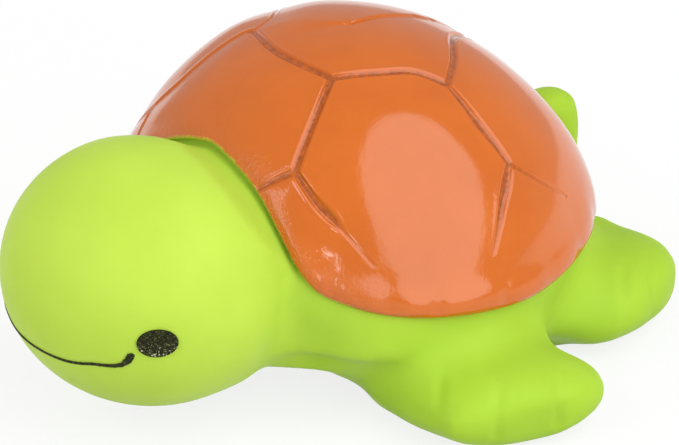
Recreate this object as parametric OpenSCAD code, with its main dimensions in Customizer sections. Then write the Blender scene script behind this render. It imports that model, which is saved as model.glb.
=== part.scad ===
// Squeaky bath toy: a hollow soft vinyl turtle with a raised shell and a reed squeaker in its belly.
// Millimetres. The head faces -Y, the turtle's left side is +X, and it stands on z = 0.

/* [Body] */
// Length from the nose to the tip of the tail
toy_l = 100.2; // [94:0.2:108]
// Width between the tips of the front flippers
span_w = 92.4; // [84:0.2:100]
// Wall of the vinyl casting
body_wall = 2.2; // [1.4:0.1:3]
// Depth of the round belly below its widest level, before it is flattened
belly_depth = 16.5; // [15.8:0.1:19]
// Level at which the body is widest
waist_z = 15; // [13.5:0.1:15.5]

/* [Head] */
// Width and length of the head
head_d = 41; // [37:0.2:45]
// Height of the head
head_h = 36.4; // [32:0.2:40]
// Height of the chin above the surface
chin_z = 2.8; // [1:0.1:5]

/* [Shell] */
// Diameter of the shell at its rim
shell_d = 69.2; // [62:0.2:76]
// Height of the crown above the surface
crown_z = 47; // [42:0.5:54]
// Level of the rim at the sides and the back
rim_z = 18.2; // [16.5:0.1:20]
// Radius of the curve on which the rim rises towards the neck
rim_rise_r = 80; // [60:1:120]
// Wall of the shell
shell_wall = 3; // [2.4:0.1:4]
// How far the rim stands out over the body
rim_overhang = 1.2; // [0.8:0.1:1.6]
// Diameter of the rolled edge of the rim
rim_roll = 3.4; // [2.8:0.1:4.4]
// Width of the grooves between the plates of the shell
groove_w = 1.3; // [0.8:0.1:1.8]
// Depth of the grooves
groove_depth = 0.6; // [0.3:0.05:0.9]
// Gap between the shell and the casting that it sits on
seam_gap = 0.3; // [0.2:0.05:0.5]

/* [Flippers] */
// Height of the flippers where they leave the body
shoulder_t = 14.4; // [12:0.1:16]
// Width of a front flipper
front_w = 25.4; // [20:0.2:28]
// Thickness of a front flipper at its tip
front_t = 8.6; // [7:0.1:10.5]
// Lift of a front flipper's tip above the surface
front_lift = 1.4; // [0:0.1:3]
// Width of a rear flipper
rear_w = 25.4; // [20:0.2:28]
// Thickness of a rear flipper at its tip
rear_t = 9.9; // [7.5:0.1:11.5]
// Lift of a rear flipper's tip above the surface
rear_lift = 2.1; // [0:0.1:4]
// Distance of a rear flipper's tip from the middle line
rear_reach = 30.5; // [27:0.5:34]
// Distance of a rear flipper's tip behind the middle of the toy
rear_back = 41.9; // [38:0.1:44]

/* [Tail] */
// Width of the tail
tail_w = 7.4; // [6:0.1:9]
// Height of the tip of the tail
tail_z = 25.2; // [22:0.1:28]
// Gap between the tail and the rim of the shell
tail_gap = 0.6; // [0.4:0.1:1]

/* [Face] */
// Width of an eye
eye_w = 5.4; // [3.8:0.1:7]
// Height of an eye
eye_h = 4.2; // [3:0.1:5.4]
// Level of the eyes
eye_z = 20.5; // [18:0.1:23]
// Depth of the paint wells of the eyes and the mouth
paint_depth = 0.45; // [0.3:0.05:0.7]
// Gap between an eye and the end of the smile
eye_gap = 0.45; // [0.3:0.05:1]
// Rise of the smile from its middle to its curled ends
smile_rise = 1.6; // [0.8:0.1:2.6]
// Height of the middle of the smile above the surface
smile_z = 15.4; // [13:0.1:17]
// Width of the painted line of the smile
smile_line = 0.6; // [0.4:0.05:0.9]
// Radius of the curled ends of the smile
smile_curl = 2.2; // [1.6:0.1:3]

/* [Squeaker] */
// Diameter of the squeaker's plug in the belly hole
plug_d = 13; // [12:0.1:14]
// Diameter of the squeaker's outer flange
flange_d = 16.4; // [15.8:0.1:18]
// Thickness of the flange
flange_t = 1.2; // [0.9:0.1:1.6]
// Depth of the flange's face above the surface
flange_sink = 0.4; // [0.2:0.05:0.7]
// Diameter of the barb that holds the plug
barb_d = 15; // [14.4:0.1:16]
// Height of the barb
barb_h = 1.8; // [1.2:0.1:2.4]
// Level of the top of the collar inside the belly
collar_z = 4.6; // [4.2:0.1:5.4]
// Diameter of the collar inside the belly
collar_d = 22; // [20:0.2:24]
// Level of the top of the squeaker's cup
cup_z = 13.4; // [12.8:0.1:15]
// Wall of the cup
cup_wall = 1.2; // [0.9:0.1:1.6]
// Diameter of the air hole
air_d = 3; // [2:0.1:3.6]
// Height of the socket that clamps the reed
socket_h = 2.6; // [2:0.1:3.2]
// Diameter of the socket's bore
socket_d = 5.2; // [4.8:0.1:5.6]
// Wall of the socket
socket_wall = 0.9; // [0.7:0.05:1.1]
// Thickness of the cover
cover_t = 1.2; // [0.9:0.1:1.6]
// Depth of the cover's spigot in the cup
spigot_h = 1.2; // [0.8:0.1:1.5]
// Diameter of the vents in the cover
vent_d = 1.4; // [1:0.1:1.8]
// Number of vents in the cover
vent_count = 6; // [4:1:8]
// Clearance of the pieces inside the squeaker
fit_gap = 0.05; // [0.03:0.01:0.08]

/* [Reed] */
// Thickness of the reed
reed_t = 0.2; // [0.15:0.01:0.3]
// Width of the reed
reed_w = 3.6; // [3:0.1:4]
// Length of the reed above the socket
reed_l = 6; // [5:0.1:6.6]
// Clearance on each side of the reed's clamped end
reed_gap = 0.15; // [0.12:0.01:0.2]
// Diameter of the trough's air channel
channel_d = 2.6; // [2:0.1:2.8]
// Angle at which the trough's face falls away from the reed
face_angle = 6; // [5:0.5:8]

/* [Hidden] */
$fn = 96;

green = [0.73, 0.87, 0.28];
orange = [0.86, 0.43, 0.18];
black = [0.14, 0.14, 0.09];
white = [0.93, 0.93, 0.9];
film = [0.8, 0.82, 0.78];

// Every cut runs this far past the face that it opens
overrun = 1;

// The head stands at its chin's height, with the nose at the front of the toy
head_y = (head_d - toy_l) / 2;
head_z = chin_z + head_h / 2;
// The crown and the chin are flatter than the head is round
head_crown_share = 1.073;
head_crown_r = head_d / 2 * head_crown_share;
// Turn of the eyes from the nose, in degrees
eye_turn = 54.5;

// The shell is the cap of a ball, cut off at the rim, and the body below it is a little narrower
shell_h = crown_z - rim_z;
ball_r = (pow(shell_d / 2, 2) + pow(shell_h, 2)) / (2 * shell_h);
ball_z = crown_z - ball_r;
body_d = shell_d - 2 * rim_overhang;
// How far the rolled rim stands out from the dome
rim_proud = 0.6;
// The tail is a little thicker where it turns up, just behind the shell's rim
tail_neck_share = 1.15;
neck_d = tail_w * tail_neck_share;
shell_back = toy_l / 2 - neck_d - tail_gap - rim_proud - shell_d / 2;
// The rim starts to rise here, in front of the shell's centre
rise_start_share = 0.1;
rise_y = shell_back - shell_d / 2 * rise_start_share;

// The smile ends just before the eyes, and its ends turn up, in degrees
curl_turn = 75;
curl_reach_share = 0.75;
eye_side = head_d / 2 * sin(eye_turn) - eye_w / 2 * cos(eye_turn);
smile_w = 2 * (eye_side - eye_gap - smile_line / 2 - smile_curl * curl_reach_share);
smile_r = (pow(smile_w / 2, 2) + pow(smile_rise, 2)) / (2 * smile_rise);

// The squeaker's floor, bore and the solid end of the reed's trough
floor_z = flange_sink + flange_t;
bore_d = plug_d - 2 * cup_wall;
trough_end = 0.8;
vent_ring_share = 0.64;

// The head is a ball with a flatter crown and chin
module head_form(grow = 0) {
    crown_drop = head_crown_r - head_h / 2;
    translate([0, head_y, head_z])
        intersection() {
            sphere(d = head_d + 2 * grow);
            translate([0, 0, -crown_drop])
                sphere(r = head_crown_r + grow);
            translate([0, 0, crown_drop])
                sphere(r = head_crown_r + grow);
        }
}

// Skin of the head, as deep as the paint wells
module head_skin() {
    difference() {
        head_form();
        head_form(-paint_depth);
    }
}

// The round belly, a tapered oval in section, from a flat floor up to a level top inside the shell
belly_steps = 9;
belly_taper = 1.2;
module belly_form(inset = 0) {
    depth = belly_depth - inset;
    low = asin((inset - waist_z) / depth);
    high = asin((rim_z - waist_z) / depth);
    side = [for (i = [0 : belly_steps])
        let (a = low + (high - low) * i / belly_steps)
        [(body_d / 2 - inset) * pow(cos(a), belly_taper), waist_z + depth * sin(a)]];
    top_r = side[belly_steps][0];
    translate([0, shell_back, 0])
        rotate_extrude()
            polygon(concat([[0, inset]], side, [[top_r, crown_z], [0, crown_z]]));
}

// The ball of the shell, drawn in by its wall for the hollow
module ball_form(inset = 0) {
    translate([0, shell_back, ball_z])
        sphere(r = ball_r - inset);
}

// Everything above the rim, which is level behind and rises on a curve towards the neck
module above_rim(drop = 0) {
    translate([-shell_d, rise_y, rim_z - drop])
        rotate([90, 0, 90])
            linear_extrude(height = 2 * shell_d) {
                square([2 * shell_d, crown_z]);
                intersection() {
                    translate([0, rim_rise_r])
                        circle(r = rim_rise_r, $fn = 360);
                    translate([-shell_d, 0])
                        square([shell_d + overrun, crown_z]);
                }
            }
}

// Point and heading on a curve from a root, drawn by a pull, to a tip
function curve(t, root, pull, tip) = (1 - t) * (1 - t) * root + 2 * t * (1 - t) * pull + t * t * tip;
function heading(t, root, pull, tip) = (1 - t) * (pull - root) + t * (tip - pull);
function pull_of(root, tip, share) =
    let (way = tip - root)
    root + share[0] * way + share[1] * [-way[1], way[0]];

// A flipper keeps its width up to a share of the way, and then has a round end
function end_round(t, start) =
    let (past = max(0, t - start) / (1 - start))
    sqrt(max(0, 1 - past * past));

// Places along a flipper: one that is drawn in under the body, then from the root, closer at the tip
tip_steps = 10;
side_count = 16;
inner_share = -0.3;
inner_close_share = 0.45;
stations = concat([inner_share], [for (i = [0 : tip_steps - 1]) 1 - pow(1 - i / tip_steps, 2)]);

// One ring of a flipper: round above, flattened below, closing in on the level of its edge
flat_share = 0.3;
edge_share = 0.45;
function ring(centre, along, half_w, height, edge_z, lift, close) =
    let (side = [-along[1], along[0]] / norm(along), low = height / (2 + flat_share))
    [for (i = [0 : side_count - 1])
        let (a = -360 * i / side_count, across = half_w * close * cos(a),
            z = max(0, low + (height - low) * sin(a)))
        [centre[0] + side[0] * across, centre[1] + side[1] * across,
            lift + edge_z + (z - edge_z) * sqrt(close)]];

// A flipper lofted along a curve in plan, from a thick shoulder in the body to a round tip
module flipper(root, tip, pull_share, round_share, width, tip_t, lift) {
    pull = pull_of(root, tip, pull_share);
    edge_z = tip_t * edge_share;
    rings = [for (t = stations)
        ring(curve(t, root, pull, tip), heading(t, root, pull, tip), width / 2,
            shoulder_t + (tip_t - shoulder_t) * max(0, t), edge_z, lift * max(0, t),
            t < 0 ? inner_close_share : end_round(t, round_share))];
    apex = [tip[0], tip[1], lift + edge_z];
    points = concat([for (r = rings) each r], [apex]);
    last = (len(stations) - 1) * side_count;
    sides = [for (s = [0 : len(stations) - 2], i = [0 : side_count - 1], half = [0, 1])
        let (a = s * side_count + i, b = s * side_count + (i + 1) % side_count)
        half == 0 ? [a, b, b + side_count] : [a, b + side_count, a + side_count]];
    end = [for (i = [0 : side_count - 1]) [last + i, last + (i + 1) % side_count, len(points) - 1]];
    root_face = [for (i = [side_count - 1 : -1 : 0]) i];
    polyhedron(points, concat(sides, end, [root_face]));
}

// Roots and pulls of the flippers, as shares of the body's radius and of the way to the tip
front_root_share = [0.647, -0.13];
front_pull_share = [0.6, 0.086];
front_round_share = 0.7;
rear_root_share = [0.483, 0.419];
rear_pull_share = [0.62, 0.18];
rear_round_share = 0.525;
function from_body(share) = [0, shell_back] + body_d / 2 * share;

module front_flipper() {
    root = from_body(front_root_share);
    flipper(root, [span_w / 2, root[1]], front_pull_share, front_round_share, front_w, front_t, front_lift);
}

module rear_flipper() {
    flipper(from_body(rear_root_share), [rear_reach, rear_back], rear_pull_share, rear_round_share,
        rear_w, rear_t, rear_lift);
}

// The tail leaves the body low down, and turns up behind the shell
tail_root_share = 1.3;
tail_level_share = 1.5;
module tail() {
    root_y = shell_back + body_d / 2 - tail_w;
    tip_y = (toy_l - neck_d) / 2;
    tip_z = tail_z - tail_w / 2;
    neck_z = tail_w * tail_level_share;
    translate([0, tip_y, tip_z])
        sphere(d = tail_w);
    translate([0, tip_y, neck_z])
        cylinder(d1 = neck_d, d2 = tail_w, h = tip_z - neck_z);
    translate([0, tip_y, neck_z])
        sphere(d = neck_d);
    translate([0, root_y, neck_z])
        rotate([-90, 0, 0])
            cylinder(d1 = tail_w * tail_root_share, d2 = tail_w, h = tip_y - root_y);
}

// Painted eye: an oval of the head's skin, on the left for side 1 and on the right for side -1
module eye_form(side) {
    intersection() {
        head_skin();
        translate([0, head_y, eye_z])
            rotate([0, 0, side * eye_turn])
                rotate([90, 0, 0])
                    linear_extrude(height = head_d)
                        scale([eye_w / eye_h, 1])
                            circle(d = eye_h);
    }
}

// The smile drawn on a plane: a ribbon along a shallow arc whose ends curl up, with round ends
arc_steps = 20;
curl_steps = 6;
cap_steps = 4;
smile_half = asin(smile_w / 2 / smile_r);
smile_end = smile_half + curl_turn;
curl_turns = [for (i = [1 : curl_steps]) smile_half + curl_turn * i / curl_steps];
smile_turns = concat([for (i = [curl_steps - 1 : -1 : 0]) -curl_turns[i]],
    [for (i = [0 : arc_steps]) smile_half * (2 * i / arc_steps - 1)], curl_turns);
function outward(a) = [sin(a), -cos(a)];
function smile_point(a, off) =
    let (joint = sign(a) * min(abs(a), smile_half), curl_share = abs(a) > smile_half ? 1 : 0)
    (smile_r - curl_share * smile_curl) * outward(joint) + (curl_share * smile_curl + off) * outward(a);
function smile_cap(a, first) =
    [for (i = [0 : cap_steps])
        let (turn = first + 180 * i / cap_steps)
        smile_point(a, 0) + smile_line / 2 * [cos(turn), sin(turn)]];

module smile() {
    last = len(smile_turns) - 2;
    polygon(concat([for (i = [1 : last]) smile_point(smile_turns[i], smile_line / 2)],
        smile_cap(smile_end, smile_end - 90),
        [for (i = [last : -1 : 1]) smile_point(smile_turns[i], -smile_line / 2)],
        smile_cap(-smile_end, 90 - smile_end)));
}

// Painted smile: a line of the head's skin
module smile_form() {
    intersection() {
        head_skin();
        translate([0, head_y, smile_z + smile_r])
            rotate([90, 0, 0])
                linear_extrude(height = head_d)
                    smile();
    }
}

// Everything in the squeaker stands on one axis, through the belly
module squeaker_axis() {
    translate([0, shell_back, 0])
        children();
}

// Hole through the belly, with a recess for the flange
module squeaker_hole() {
    squeaker_axis() {
        translate([0, 0, -overrun])
            cylinder(d = flange_d + 2 * fit_gap, h = overrun + floor_z + fit_gap);
        cylinder(d = plug_d + 2 * fit_gap, h = collar_z + overrun);
    }
}

// Thick ring of vinyl around the hole
module squeaker_collar() {
    squeaker_axis()
        translate([0, 0, floor_z])
            cylinder(d = collar_d, h = collar_z - floor_z);
}

// Soft vinyl casting: head, belly, flippers and tail, hollow inside
module body_casting() {
    color(green)
        difference() {
            union() {
                difference() {
                    union() {
                        difference() {
                            belly_form();
                            above_rim(seam_gap);
                        }
                        head_form();
                        for (side = [0, 1])
                            mirror([side, 0, 0]) {
                                front_flipper();
                                rear_flipper();
                            }
                        tail();
                    }
                    difference() {
                        belly_form(body_wall);
                        above_rim(-overrun);
                    }
                    head_form(-body_wall);
                    intersection() {
                        ball_form(shell_wall);
                        above_rim();
                    }
                }
                squeaker_collar();
            }
            squeaker_hole();
            eye_form(1);
            eye_form(-1);
            smile_form();
        }
}

// Grooves run between these places on the ball: turn from the nose towards the left, and height, in degrees
front_top = [42, 68.5];
side_top = [102, 61.5];
rear_top = [158, 63];
front_mid = [33, 44];
side_mid = [102, 38.5];
rear_mid = [150, 42];
neck_end = [20, 36];
front_low = [55.5, 23.5];
side_low = [86, 21.5];
side_rear_low = [119, 24];
rear_low = [138, 23];
tail_end = [169, 22];
groove_lines = [[front_top, side_top], [side_top, rear_top], [front_top, front_mid], [side_top, side_mid],
    [rear_top, rear_mid], [front_mid, neck_end], [front_mid, front_low], [side_mid, side_low],
    [side_mid, side_rear_low], [rear_mid, rear_low], [rear_mid, tail_end]];
function opposite(place) = [-place[0], place[1]];
function toward(place) = [cos(place[1]) * sin(place[0]), -cos(place[1]) * cos(place[0]), sin(place[1])];

// A groove along the shortest way over the ball, with a round dent at its far end
groove_steps = 4;
dent_share = 1.25;
module groove(from, to) {
    a = toward(from);
    b = toward(to);
    across = cross(a, b) / norm(cross(a, b));
    ahead = cross(across, a);
    turn = acos(a * b);
    rays = [for (i = [0 : groove_steps]) [cos(turn * i / groove_steps), sin(turn * i / groove_steps)]];
    bottom_r = ball_r - groove_depth;
    outer_r = ball_r + groove_w;
    multmatrix([for (i = [0 : 2]) [a[i], ahead[i], across[i], 0]]) {
        translate([0, 0, -groove_w / 2])
            linear_extrude(height = groove_w)
                polygon(concat([for (r = rays) bottom_r * r],
                    [for (i = [groove_steps : -1 : 0]) outer_r * rays[i]]));
        rotate([0, 0, turn])
            rotate([0, 90, 0])
                translate([0, 0, bottom_r])
                    cylinder(d = groove_w * dent_share, h = outer_r - bottom_r);
    }
}

module grooves() {
    translate([0, shell_back, ball_z]) {
        for (line = groove_lines) {
            groove(line[0], line[1]);
            groove(opposite(line[0]), opposite(line[1]));
        }
        groove(opposite(front_top), front_top);
        groove(rear_top, opposite(rear_top));
    }
}

// Raised shell: a dome with a rolled rim and plates marked by grooves, open below
module carapace() {
    color(orange)
        difference() {
            intersection() {
                union() {
                    ball_form();
                    translate([0, shell_back, rim_z + rim_roll / 2 - rim_proud])
                        rotate_extrude()
                            translate([(shell_d - rim_roll) / 2 + rim_proud, 0])
                                circle(d = rim_roll);
                }
                above_rim();
            }
            ball_form(shell_wall);
            head_form(seam_gap);
            grooves();
        }
}

module left_eye() {
    color(black)
        eye_form(1);
}

module right_eye() {
    color(black)
        eye_form(-1);
}

module mouth_line() {
    color(black)
        smile_form();
}

// Flanged plug that snaps into the belly hole and holds the reed over the air hole
module squeaker_cup() {
    color(white)
        squeaker_axis()
            difference() {
                union() {
                    translate([0, 0, flange_sink])
                        cylinder(d = flange_d, h = flange_t);
                    translate([0, 0, flange_sink])
                        cylinder(d = plug_d, h = cup_z - flange_sink);
                    translate([0, 0, collar_z + fit_gap])
                        cylinder(d1 = barb_d, d2 = plug_d - cup_wall, h = barb_h);
                }
                difference() {
                    translate([0, 0, floor_z])
                        cylinder(d = bore_d, h = cup_z);
                    translate([0, 0, floor_z - overrun])
                        cylinder(d = socket_d + 2 * socket_wall, h = socket_h + overrun);
                }
                translate([0, 0, floor_z])
                    cylinder(d = socket_d, h = socket_h + overrun);
                cylinder(d = air_d, h = cup_z);
            }
}

// Vented lid of the cup
module squeaker_cover() {
    color(white)
        squeaker_axis()
            difference() {
                union() {
                    translate([0, 0, cup_z])
                        cylinder(d = plug_d, h = cover_t);
                    translate([0, 0, cup_z - spigot_h])
                        cylinder(d = bore_d - 2 * fit_gap, h = spigot_h + cover_t / 2);
                }
                for (i = [0 : vent_count - 1])
                    rotate([0, 0, 360 * i / vent_count])
                        translate([bore_d / 2 * vent_ring_share, 0, cup_z - spigot_h - overrun])
                            cylinder(d = vent_d, h = spigot_h + cover_t + 2 * overrun);
            }
}

// Half of a round bar that stands in the socket, on the +X side of the reed
module half_bar(h) {
    intersection() {
        cylinder(d = socket_d - 2 * fit_gap, h = h);
        translate([reed_t / 2 + reed_gap, -socket_d, 0])
            cube([socket_d, 2 * socket_d, h]);
    }
}

// Half round trough whose face falls away from the reed above the socket
module reed_trough() {
    face_x = reed_t / 2 + reed_gap;
    color(white)
        squeaker_axis()
            translate([0, 0, floor_z])
                difference() {
                    half_bar(socket_h + reed_l + trough_end);
                    translate([face_x, 0, -overrun])
                        cylinder(d = channel_d, h = overrun + socket_h + reed_l - trough_end);
                    translate([face_x, 0, socket_h])
                        rotate([0, face_angle, 0])
                            translate([-socket_d, -socket_d, 0])
                                cube([socket_d, 2 * socket_d, 2 * reed_l]);
                }
}

// Thin strip that flutters against the trough
module reed() {
    color(film)
        squeaker_axis()
            translate([-reed_t / 2, -reed_w / 2, floor_z + reed_gap])
                cube([reed_t, reed_w, socket_h + reed_l - reed_gap]);
}

// Wedge that holds the reed's tail in the socket
module reed_wedge() {
    color(white)
        squeaker_axis()
            translate([0, 0, floor_z])
                rotate([0, 0, 180])
                    half_bar(socket_h);
}

body_casting();
carapace();
left_eye();
right_eye();
mouth_line();
squeaker_cup();
squeaker_cover();
reed_trough();
reed();
reed_wedge();
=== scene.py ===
"""Squeaky bath toy: a soft green vinyl turtle with a glossy orange shell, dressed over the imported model."""
import math

import bpy
import numpy as np
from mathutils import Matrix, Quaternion, Vector


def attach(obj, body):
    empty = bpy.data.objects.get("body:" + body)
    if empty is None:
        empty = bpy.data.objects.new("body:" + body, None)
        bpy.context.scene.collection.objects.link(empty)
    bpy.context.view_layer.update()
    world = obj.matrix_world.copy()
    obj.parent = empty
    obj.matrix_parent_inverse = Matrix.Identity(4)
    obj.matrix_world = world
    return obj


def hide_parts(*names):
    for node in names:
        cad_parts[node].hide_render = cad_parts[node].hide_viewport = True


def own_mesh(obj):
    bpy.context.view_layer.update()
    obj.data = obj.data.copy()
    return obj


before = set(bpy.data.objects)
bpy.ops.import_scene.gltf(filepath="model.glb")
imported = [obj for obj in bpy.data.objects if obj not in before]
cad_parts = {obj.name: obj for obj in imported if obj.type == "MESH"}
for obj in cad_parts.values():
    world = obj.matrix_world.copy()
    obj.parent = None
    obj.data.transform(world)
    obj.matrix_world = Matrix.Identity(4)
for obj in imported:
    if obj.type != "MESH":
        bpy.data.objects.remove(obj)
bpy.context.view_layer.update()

MM = 0.001

# Sizes of the toy in millimetres, as in the part's source, with the head, the belly's radius and the eyes
# fitted a little closer to the photo
HEAD_CENTRE = (0, -30.0, 21.05)
HEAD_RADII = (21.06, 20.0, 18.2)
BALL_CENTRE = np.array((0, 5.79, 11.816))
BALL_R = 35.18
RIM_Z = 18.2
BODY_R = 33.3
WAIST_Z = 15.0
BELLY_DEPTH = 16.5
BELLY_TAPER = 1.2
SHOULDER_T = 14.4
FRONT_FLIPPER = dict(root=(21.6, 1.45), tip=(46.2, 1.45), along=0.6, bow=0.086, width=25.4, tip_t=8.6,
                     lift=1.4, start=0.7)
REAR_FLIPPER = dict(root=(16.1, 19.8), tip=(30.5, 41.9), along=0.62, bow=0.18, width=25.4, tip_t=9.9,
                    lift=2.1, start=0.525)
FLANGE_R = 8.25
PLUG_R = 6.55
FLOOR_Z = 1.65
POCKET_Z = 17.0
EYE_TURN = math.radians(55.6)
EYE_SIZE = (5.5, 4.05)
EYE_Z = 20.55

# The photo's view: its turn from the nose and rise in degrees, the point that it looks at, and its right
# and up directions
VIEW_TURN, VIEW_RISE = 49.58, 26.47
VIEW_TARGET = (0, 2.78, 18.94)
VIEW_RIGHT = (0.648, 0.761)
VIEW_UP = (-0.339, 0.289, 0.895)
VIEW_DISTANCE = 457.2
VIEW_SHIFT = (0.0110, -0.0148)
SENSOR = 36
FOCAL_PIXELS, PHOTO_PIXELS = 3208, 679

# Points of a mesh that lie closer together than this are one point
SAME_POINT = 0.002

# Angles past which an edge of the body or of the painted face stays sharp
BODY_SHARP, FACE_SHARP = math.radians(40), math.radians(50)


# Small helpers for modelling by hand

def clear_selection():
    if bpy.context.object and bpy.context.object.mode != "OBJECT":
        bpy.ops.object.mode_set(mode="OBJECT")
    bpy.ops.object.select_all(action="DESELECT")


def only(obj):
    clear_selection()
    obj.select_set(True)
    bpy.context.view_layer.objects.active = obj
    return obj


def mm(*values):
    return tuple(v * MM for v in values)


def apply_place(obj):
    only(obj)
    bpy.ops.object.transform_apply(location=True, rotation=True, scale=True)
    return obj


def modify(obj, kind, **settings):
    only(obj)
    modifier = obj.modifiers.new(kind.lower(), kind)
    for name, value in settings.items():
        setattr(modifier, name, value)
    bpy.ops.object.modifier_apply(modifier=modifier.name)
    return obj


def join(first, *others):
    only(first)
    for o in others:
        o.select_set(True)
    bpy.ops.object.join()
    return first


def points_of(obj):
    co = np.empty(len(obj.data.vertices) * 3)
    obj.data.vertices.foreach_get("co", co)
    return co.reshape(-1, 3) / MM


def normals_of(obj):
    no = np.empty(len(obj.data.vertices) * 3, np.float32)
    obj.data.vertices.foreach_get("normal", no)
    return no.reshape(-1, 3).astype(float)


def set_points(obj, points):
    obj.data.vertices.foreach_set("co", (points * MM).ravel())
    obj.data.update()


def smooth_step(x, low, high):
    t = np.clip((x - low) / (high - low), 0, 1)
    return t * t * (3 - 2 * t)


def tidy_mesh(obj, merge=0.0):
    only(obj)
    bpy.ops.object.mode_set(mode="EDIT")
    bpy.ops.mesh.select_all(action="SELECT")
    if merge:
        bpy.ops.mesh.remove_doubles(threshold=merge * MM)
    bpy.ops.mesh.normals_make_consistent(inside=False)
    bpy.ops.object.mode_set(mode="OBJECT")
    return obj


# The soft body: head, belly, flippers and tail

def ellipsoid(name, centre, radii, segments=96):
    clear_selection()
    bpy.ops.mesh.primitive_uv_sphere_add(segments=segments, ring_count=segments // 2, radius=1,
                                         location=mm(*centre))
    obj = bpy.context.object
    obj.name = name
    obj.scale = mm(*radii)
    return apply_place(obj)


# The belly's wall stands a little out above the waist, and these rings of it, radius and height, lie under
# the shell
WALL_OUT, WALL_FROM = 0.3, 0.5
UNDER_SHELL = [(31.8, 20.2), (30.3, 24.0), (28.0, 28.0), (22.0, 30.0)]


def belly():
    low = math.asin(-WAIST_Z / BELLY_DEPTH)
    high = math.asin((RIM_Z - WAIST_Z) / BELLY_DEPTH)
    steps = 16
    profile = []
    for i in range(steps + 1):
        a = low + (high - low) * i / steps
        profile.append((BODY_R * math.cos(a) ** BELLY_TAPER, WAIST_Z + BELLY_DEPTH * math.sin(a)))
    profile = [(max(r, BODY_R + WALL_OUT) if z > WAIST_Z + WALL_FROM else r, z) for r, z in profile]
    profile += UNDER_SHELL
    clear_selection()
    bpy.ops.mesh.primitive_circle_add(vertices=128, radius=profile[0][0] * MM, fill_type="NGON",
                                      location=mm(0, BALL_CENTRE[1], profile[0][1]))
    obj = bpy.context.object
    obj.name = "belly_form"
    bpy.ops.object.mode_set(mode="EDIT")
    for (r0, z0), (r1, z1) in zip(profile, profile[1:]):
        bpy.ops.mesh.extrude_region_move(TRANSFORM_OT_translate={"value": mm(0, 0, z1 - z0)})
        k = r1 / r0
        bpy.ops.transform.resize(value=(k, k, 1), center_override=mm(0, BALL_CENTRE[1], z1))
    bpy.ops.object.mode_set(mode="OBJECT")
    apply_place(obj)
    return tidy_mesh(obj)


# A flipper's widest line lies low, its tip is blunt, its inner end shrinks inside the belly, and its last
# ring is almost closed
LOW_SHARE = 2.3
TIP_SHARE = 0.45
INNER_END, INNER_SIZE = -0.3, 0.45
TIP_END, TIP_LEAST = 0.9995, 1e-4


def flipper(name, root, tip, along, bow, width, tip_t, lift, start):
    root, tip = np.array(root), np.array(tip)
    way = tip - root
    pull = root + along * way + bow * np.array((-way[1], way[0]))
    steps = 14
    stations = [INNER_END] + [1 - (1 - i / steps) ** 2 for i in range(steps)] + [TIP_END]

    def ring(t):
        centre = (1 - t) ** 2 * root + 2 * t * (1 - t) * pull + t * t * tip
        ahead = (1 - t) * (pull - root) + t * (tip - pull)
        past = max(0, t - start) / (1 - start)
        close = INNER_SIZE if t < 0 else math.sqrt(max(TIP_LEAST, 1 - past * past))
        u = max(0, t)
        height = SHOULDER_T + (tip_t - SHOULDER_T) * u
        low = height / LOW_SHARE
        edge = TIP_SHARE * tip_t
        middle = lift * u + edge + (low - edge) * math.sqrt(close)
        return (np.array((centre[0], centre[1], middle)), math.atan2(ahead[1], ahead[0]),
                width / 2 * close, (height - low) * math.sqrt(close))

    place, turn, half_w, half_h = ring(stations[0])
    clear_selection()
    bpy.ops.mesh.primitive_circle_add(vertices=40, radius=1, fill_type="NGON", location=mm(*place),
                                      rotation=(math.pi / 2, 0, turn + math.pi / 2))
    obj = bpy.context.object
    obj.name = name
    obj.scale = mm(half_w, half_h, 1)
    apply_place(obj)
    bpy.ops.object.mode_set(mode="EDIT")
    bpy.ops.mesh.select_all(action="SELECT")
    for t in stations[1:]:
        new_place, new_turn, new_w, new_h = ring(t)
        bpy.ops.mesh.extrude_region_move(TRANSFORM_OT_translate={"value": mm(*(new_place - place))})
        bpy.ops.transform.rotate(value=-(new_turn - turn), orient_axis="Z", center_override=mm(*new_place))
        k = new_w / half_w
        bpy.ops.transform.resize(value=(k, k, new_h / half_h), center_override=mm(*new_place))
        place, turn, half_w, half_h = new_place, new_turn, new_w, new_h
    bpy.ops.object.mode_set(mode="OBJECT")
    return tidy_mesh(obj)


def mirrored(obj, name):
    only(obj)
    bpy.ops.object.duplicate()
    twin = bpy.context.object
    twin.name = name
    twin.scale = (-1, 1, 1)
    apply_place(twin)
    return tidy_mesh(twin)


# The collar is cut from a ball by planes: a point of each and its direction
COLLAR_R = BALL_R - 0.85
COLLAR_CUTS = (((0, -8, 0), (0, -1, 0)), ((0, 0, 37.5), (0, 0, -1)), ((0, 0, 12), (0, 0, 1)))


def collar():
    """The neck under the front of the shell."""
    obj = ellipsoid("collar_form", BALL_CENTRE, (COLLAR_R,) * 3, segments=128)
    only(obj)
    bpy.ops.object.mode_set(mode="EDIT")
    for place, way in COLLAR_CUTS:
        bpy.ops.mesh.select_all(action="SELECT")
        bpy.ops.mesh.bisect(plane_co=mm(*place), plane_no=way, use_fill=True, clear_inner=True)
    bpy.ops.object.mode_set(mode="OBJECT")
    return tidy_mesh(obj)


# The tail as a row of balls: place along the toy, height, half width and half thickness
TAIL = [(34.0, 9.5, 6.2, 5.6), (38.5, 10.0, 5.8, 5.2), (42.3, 11.0, 5.3, 4.7), (44.6, 13.2, 4.9, 4.3),
        (45.8, 16.2, 4.6, 4.1), (46.2, 19.0, 4.4, 4.0), (46.1, 21.2, 4.2, 3.9), (43.7, 23.4, 3.5, 2.7),
        (45.4, 23.4, 3.4, 2.7), (47.1, 22.7, 3.4, 2.75)]


def tail():
    parts = [ellipsoid(f"tail_form_{i}", (0, y, z), (across, thick, thick), segments=32)
             for i, (y, z, across, thick) in enumerate(TAIL)]
    obj = join(parts[0], *parts[1:])
    obj.name = "tail_form"
    return obj


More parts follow.
